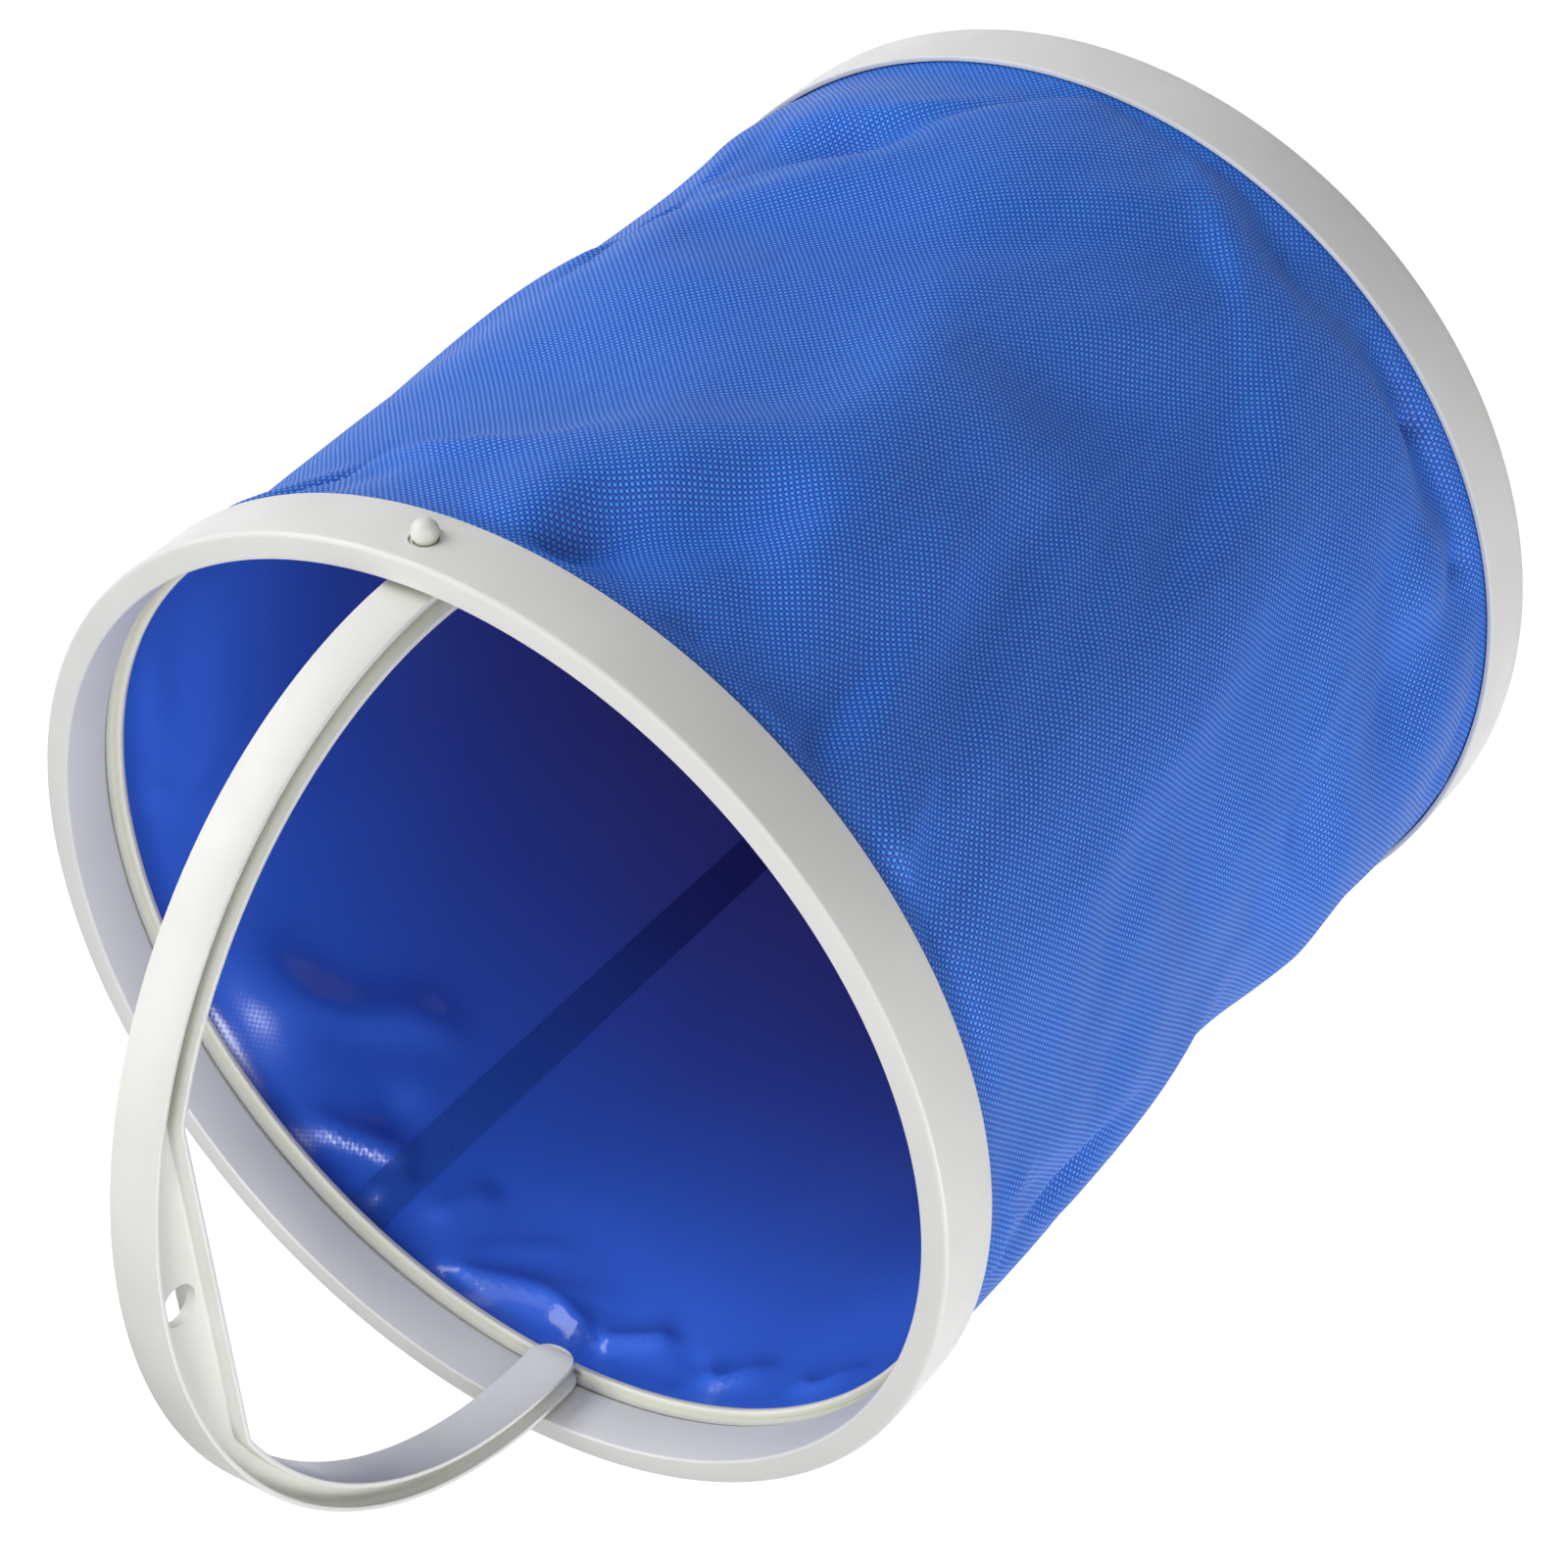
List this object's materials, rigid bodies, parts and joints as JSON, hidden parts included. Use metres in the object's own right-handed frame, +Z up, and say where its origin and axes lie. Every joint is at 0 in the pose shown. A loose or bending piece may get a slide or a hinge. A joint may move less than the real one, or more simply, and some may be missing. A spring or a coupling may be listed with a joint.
{
  "type": "collapsible bucket",
  "caption": "Collapsible bucket with a coated fabric wall between moulded rings and a swinging handle that folds down inside the rim.",
  "frame": {"origin": "on the ground, under the middle of the base ring", "axes": "+Z up the bucket to the rim, X along the handle's pivot line, Y across it"},
  "size_m": [0.2586, 0.25, 0.3655],
  "materials": {
    "ring_plastic": "fine satin moulded plastic, warm off-white",
    "clamp_plastic": "satin moulded plastic, cream",
    "handle_plastic": "satin moulded plastic, off-white",
    "wall_cloth": "coated basket-weave cloth, royal blue, glossy film on the inside",
    "seam_tape": "smooth welded tape, navy",
    "floor_cloth": "coated basket-weave cloth, royal blue, glossy film on the inside"
  },
  "bodies": {
    "base": {"base_channel": "ring_plastic", "base_clamp_ring": "clamp_plastic", "floor_fabric": "floor_cloth", "wall_fabric": "wall_cloth", "wall_seam_tape": "seam_tape"},
    "rim": {"rim_channel": "ring_plastic", "rim_clamp_ring": "clamp_plastic"},
    "handle": {"handle": "handle_plastic"}
  },
  "joints": [
    {"name": "collapse", "type": "slide", "parent": "base", "child": "rim", "axis": [0, 0, 1], "range_m": [-0.212, 0], "deforming": ["wall_fabric", "wall_seam_tape"]},
    {"name": "handle_swing", "type": "hinge", "parent": "rim", "child": "handle", "pos_m": [0, 0, 0.251], "axis": [1, 0, 0], "range_deg": [-90, 90]}
  ]
}
